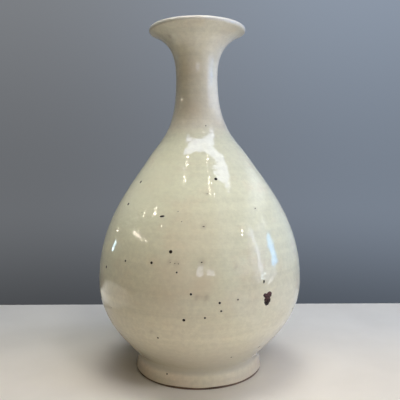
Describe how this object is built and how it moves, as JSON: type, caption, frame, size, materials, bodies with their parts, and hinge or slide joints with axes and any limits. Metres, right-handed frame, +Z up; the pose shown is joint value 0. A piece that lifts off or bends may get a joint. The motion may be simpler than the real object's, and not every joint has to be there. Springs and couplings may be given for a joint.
{
  "type": "pear-shaped bottle vase",
  "caption": "Pear-shaped bottle vase with a slender neck, a flared rolled mouth and a turned foot ring, white-glazed inside and out over luted stoneware sections.",
  "frame": {"origin": "centre of the foot, on the plane that the foot rim stands on", "axes": "+Z up along the axis that the vase was thrown on, from the foot to the mouth; X and Y are free, with -Y facing the viewer of the picture"},
  "size_m": [0.179, 0.179, 0.3],
  "materials": {
    "glaze": "glossy milky off-white glaze with fine iron specks",
    "clay": "fired pale stoneware, unglazed inside the wall",
    "bare_foot": "bare foot rim, burnt brown and worn matt",
    "slip": "fired luting slip"
  },
  "bodies": {
    "root": {"foot_ring": "bare_foot", "lower_body": "clay", "upper_body": "clay", "neck": "clay", "foot_slip": "slip", "belly_slip": "slip", "neck_slip": "slip", "outer_glaze": "glaze", "inner_glaze": "glaze", "foot_well_glaze": "glaze"}
  },
  "joints": []
}
